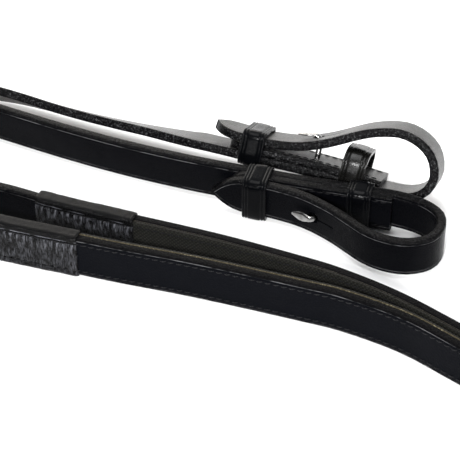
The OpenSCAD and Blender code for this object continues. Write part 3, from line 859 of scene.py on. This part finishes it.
# The cover's last colour paints highlights on its pleats and over its seam
cover_face = leather("cover_leather", (0.0009, 0.0009, 0.0010), (0.005, 0.005, 0.005),
                     COVER_LEN, 0.26 * MM, (0.16, 0.28), 0.06, pebbles=(400.0, 1900.0),
                     highlight_colour=(0.047, 0.048, 0.054))
thread = thread_material("thread", (0.0035, 0.0035, 0.0045))
metal = nickel("plated_metal")

strap_section = strap_profile(-STRAP_T / 2, STRAP_T / 2, STRAP_W, 0.0008)
hand_section = strap_profile(-HAND_T / 2, HAND_T / 2, HAND_W, 0.0006)

# --- The straps -------------------------------------------------------------------


def hook_stud(name, route, station, side, reach, slope, node):
    """A foot under the strip, a stem that stands up through the billet, a bend,
    and a leaf that lies back along it, sloping down by slope degrees."""
    foot, foot_top, stem, bend = 0.0034, 0.0012, 0.00115, 0.0023
    centres = [((0, 0.0004, 0), foot, foot), ((0, 0.0009, 0), foot, foot),
               ((0, foot_top, 0), foot_top, foot_top)]
    for j in range(1, 5):
        centres.append(((0, foot_top + (reach - foot_top) * j / 4, 0), stem, stem))
    for j in range(1, 7):
        t = j / 6
        a = math.radians(180 - (90 + slope) * t)
        centres.append(((bend + bend * math.cos(a), reach + bend * math.sin(a), 0),
                        stem + 0.0004 * t, stem - 0.0005 * t))
    head = Vector(centres[-1][0])
    aim = Vector((math.cos(math.radians(-slope)), math.sin(math.radians(-slope)), 0))
    for far, wide, thick in ((0.0009, 0.0019, 0.00062), (0.0019, 0.0022, 0.0006),
                             (0.0031, 0.0021, 0.00058), (0.0044, 0.00175, 0.00052),
                             (0.0056, 0.0012, 0.00045), (0.0065, 0.0007, 0.00036),
                             (0.0070, 0.0002, 0.0001)):
        centres.append((tuple(head + aim * far), wide, thick))
    tube(name, frame_at(route, station, side, STRAP_T / 2), centres, "leather", node)


def keeper(name, route, station, node, outline, material, body="leather"):
    """A narrow strip of leather round the straps, in place of that CAD node."""
    band(name, route, station, outline, KEEPER_LEN, KEEPER_T, material, node,
         crown, 30, body)


def bit_end(hand, route, side, front, strip, stud, reach, slope, point, bit, bit_far, bit_round,
            tip):
    """One bit end: strap, stud strip, stud and both keepers, of which the bit
    keeper stands open if bit_round rounds it."""
    look = [near_face_shaded, near_edge_shaded] if hand == "left" else [far_face_lit, far_edge_lit]
    strap = sweep(f"{hand}_strap", route, 0.0, front + OVERLAP, strap_section, look,
                  [f"{hand}_bit_end_strap"], "strap_leather", ends=(TIP_LEN, 0), point=tip)
    on_strap = frame_at(route, stud, side, STRAP_T / 2)
    mid, depth = (STRIP_T + reach + 0.007) / 2, 0.012
    cut(strap, [cutter(on_strap, (0.001, mid, 0), (0.0023, depth)),
                cutter(on_strap, (-0.0042, mid, 0), (0.0087, depth, 0.0006))])
    low, high = sorted((side * STRAP_T / 2, side * (STRAP_T / 2 + STRIP_T)))
    sweep(f"{hand}_strip", route, *strip, strap_profile(low, high, STRAP_W, 0.0006), look,
          [f"{hand}_stud_strip"], "strap_leather", step=0.002, ends=(0, ROUND_LEN))
    hook_stud(f"{hand}_stud", route, stud, side, reach, slope, f"{hand}_hook_stud")

    half, near = STRAP_W / 2 + 0.0001, STRAP_T / 2 + 0.0003

    def ring(far):
        return rounded_outline(*sorted((-side * near, side * far)), half, 0.0014)

    keeper(f"{hand}_point_loop", route, point, f"{hand}_point_keeper", ring(POINT_FAR),
           keeper_face)
    outline = ring(bit_far)
    if bit_round:
        outline = rounded_outline(-near, bit_far, half, 0.0010, radius_far=bit_round)
        outline = [(side * u, v, side * a, b) for u, v, a, b in outline]
    keeper(f"{hand}_bit_ring", route, bit, f"{hand}_bit_keeper", outline,
           open_keeper_face_lit if bit_round else keeper_face)
    for row, v in ROWS:
        stitches(f"{hand}_strip_seam_{row}", route, strip[0] + 0.002, strip[1] - 0.006,
                 side * (STRAP_T / 2 + STRIP_T), v * (STRAP_W / 2 - SEAM_IN), side)


def hand_part(hand, route, front, side):
    """The lined grip, its seams and the two covers at its ends; side is 1 where
    the lining looks left."""
    rear = front + HAND_LEN
    sweep(f"{hand}_grip", route, front, rear, hand_section, [hand_face, hand_edge],
          [f"{hand}_hand_leather"], "hand_leather")
    inner, core, outer = (side * (HAND_T / 2 + t) for t in (0, 0.00045, LINING_T))
    sweep(f"{hand}_grip_lining", route, front, rear,
          strap_profile(*sorted((core, outer)), HAND_W - 0.0004, 0.0002, 2),
          [lining_face, lining_edge], [f"{hand}_hand_lining"], "hand_lining")
    raw = lining_core if hand == "right" else dark_core
    sweep(f"{hand}_grip_core", route, front, rear,
          strap_profile(*sorted((core, inner)), HAND_W - 0.0002, 0.0001, 2), [raw, raw],
          slot="hand_lining")
    for row, v in ROWS:
        ends, place = (front + 0.018, rear - 0.018), v * (HAND_W / 2 - HAND_SEAM_IN)
        stitches(f"{hand}_grip_seam_{row}", route, *ends, -inner, place, -side)
        stitches(f"{hand}_lining_seam_{row}", route, *ends, outer, place, side)
    for end, station in (("front", front), ("rear", rear)):
        cover(f"{hand}_{end}_sleeve", route, station, *sorted((-inner, outer)),
              f"{hand}_{end}_cover")


def cover(name, route, station, u0, u1, node):
    """A sewn sleeve with soft vertical wrinkles, round what lies from u0 to u1."""
    half, end = HAND_W / 2, COVER_LEN / 2

    def wrinkles(a, _k, u, v):
        below = half - abs(v) - SEAM_IN
        seam = math.exp(-((below / 0.0006) ** 2))
        hem = math.exp(-(((end - abs(a)) / 0.0012) ** 2))
        fold = noise.noise(Vector((a * 420 + station * 90, v * 60 + u * 60, station * 7)))
        rise = 0.00010 * fold - 0.00015 - 0.00025 * hem - 0.00040 * seam
        if below > 0:
            # Each stitch gathers a pleat, which fades towards the middle
            drift = 0.6 * noise.noise(Vector((a * 150, v * 80, station * 11)))
            pleat = math.cos(2 * math.pi * (a / PLEAT + drift))
            rise += (0.00022 * pleat * math.exp(-below / 0.0032)
                     + 0.00045 * (1 - math.exp(-below / 0.0010)) * math.exp(-below / 0.005))
        return rise

    band(name, route, station, rounded_outline(u0, u1, half, 0.0007, gap=0.0005), COVER_LEN,
         COVER_T, cover_face, node, wrinkles, 90)
    hem, sunk = 0.0015, 0.0003
    for side, word, u in ((-1, "right", u0 - COVER_T + sunk), (1, "left", u1 + COVER_T - sunk)):
        for row, v in ROWS:
            stitches(f"{name}_seam_{word}_{row}", route, station - end + hem,
                     station + end - hem, u, v * (half - SEAM_IN), side, PLEAT, COVER_STITCH)


for hand, route, lining_side in (("left", left, -1), ("right", right, 1)):
    bit_end(hand, route, **BIT_ENDS[hand])
    hand_part(hand, route, BIT_ENDS[hand]["front"], lining_side)

# --- The buckled centre -----------------------------------------------------------


def centre_strap():
    """The left strap's end, with two spare holes and the one that the tongue is in."""
    start = BIT_ENDS["left"]["front"] + HAND_LEN - OVERLAP
    centre = sweep("left_centre", left, start, left.length, strap_section,
                   [near_face_shaded, near_edge_shaded], ["left_centre_strap"], "strap_leather",
                   ends=(0, ROUND_LEN))
    holes = [cutter(frame_at(left, left.length - far), (0, 0, 0), (0.0019, 0.008))
             for far in (0.062, 0.082)]
    cut(centre, holes + [cutter(BUCKLE, (0.00825, -0.0014, 0), (0.0115, 0.0052, 0.0027))])


def chape():
    """The right strap's end, thinned and turned round the heel bar."""
    start = BIT_ENDS["right"]["front"] + HAND_LEN - OVERLAP
    sweep("right_centre", right, start, right.length - CHAPE_LEN, strap_section,
          [far_face_lit, far_edge_lit], ["right_centre_strap"], "strap_leather")
    # x, y and thickness along the middle of the leather
    line = [(-CHAPE_LEN - 0.0005, 0, STRAP_T), (-0.012, 0, STRAP_T), (-0.008, -0.0001, 0.0034),
            (-0.0045, -0.0005, 0.0026), (-0.002, -0.00095, 0.0018)]
    turn = 0.00185
    for j in range(9):
        a = math.radians(-90 + 180 * j / 8)
        line.append((turn * math.cos(a), BAR_Y + turn * math.sin(a), 0.0016))
    line += [(-0.002, 0.0026, 0.0016), (-0.006, 0.00262, 0.0015), (-0.011, 0.0025, 0.0013),
             (-CHAPE_LEN, 0.0021, 0.0006)]
    places = [BUCKLE @ Vector((x, y, 0)) for x, y, _ in line]
    route = Route(places, [Vector((0, 0, 1))] * len(places))

    def thin(s, u, v):
        k = 0
        while k < len(line) - 2 and route.stations[k + 1] < s:
            k += 1
        t = (s - route.stations[k]) / (route.stations[k + 1] - route.stations[k])
        before, later = line[k][2], line[k + 1][2]
        return u * (before + (later - before) * min(1.0, max(0.0, t))) / STRAP_T, v

    end = sweep("right_chape", route, 0.0, route.length, strap_section, [far_face_lit, far_edge_lit],
                slot="strap_leather", step=0.0006, shape=thin)
    cut(end, [cutter(BUCKLE, (0.0006, 0.0005, 0), (0.008, 0.009, 0.003))])
    for row, v in ROWS:
        stitches(f"right_chape_seam_{row}", straight(0.03), 0.0145, 0.0262, -STRAP_T / 2,
                 v * (STRAP_W / 2 - SEAM_IN), -1)


def buckle():
    """The frame, the tongue turned round its heel bar, and both keepers."""
    bar = BUCKLE @ Matrix.Translation((0, BAR_Y, 0))
    side, corner = BUCKLE_IN / 2 + WIRE_R, 0.0022
    ring = []
    for cx, cz, start in ((BUCKLE_LEN - corner, side - corner, 0), (corner, side - corner, 90),
                          (corner, -side + corner, 180),
                          (BUCKLE_LEN - corner, -side + corner, 270)):
        for j in range(7):
            a = math.radians(start + 90 * j / 6)
            ring.append(((cx + corner * math.cos(a), 0, cz + corner * math.sin(a)),
                         WIRE_R, WIRE_R))
    tube("buckle_wire", bar, ring, "frame", "buckle_frame", closed=True)
    pin, turn = [], 0.00128
    for j in range(12):
        a = math.radians(60 - 330 * j / 11)
        pin.append(((turn * math.cos(a), turn * math.sin(a), 0), 0.0009, 0.00045))
    for x, y, w, t in ((0.0015, -0.00165, 0.0010, 0.0006), (0.004, -0.00175, 0.0009, 0.0007),
                       (0.008, -0.00175, 0.0008, 0.0007), (0.013, -0.00175, 0.00075, 0.00065),
                       (0.0162, -0.0017, 0.0007, 0.0006), (0.0174, -0.0016, 0.00055, 0.0005),
                       (0.0178, -0.00155, 0.0002, 0.0002)):
        pin.append(((x, y, 0), w, t))
    tube("buckle_pin", bar, pin, "tongue", "buckle_tongue")
    length, half = 0.06, STRAP_W / 2
    keeper("fixed_loop", straight(length), length + FIXED_X, "fixed_keeper",
           rounded_outline(-0.0067, 0.0036, half + 0.0001, 0.0012), keeper_face)
    keeper("running_loop", straight(length), length + RUNNING_X, "running_keeper",
           rounded_outline(-0.0064, 0.0022, half + 0.0004, 0.0012), keeper_face, "keeper")


centre_strap()
chape()
buckle()
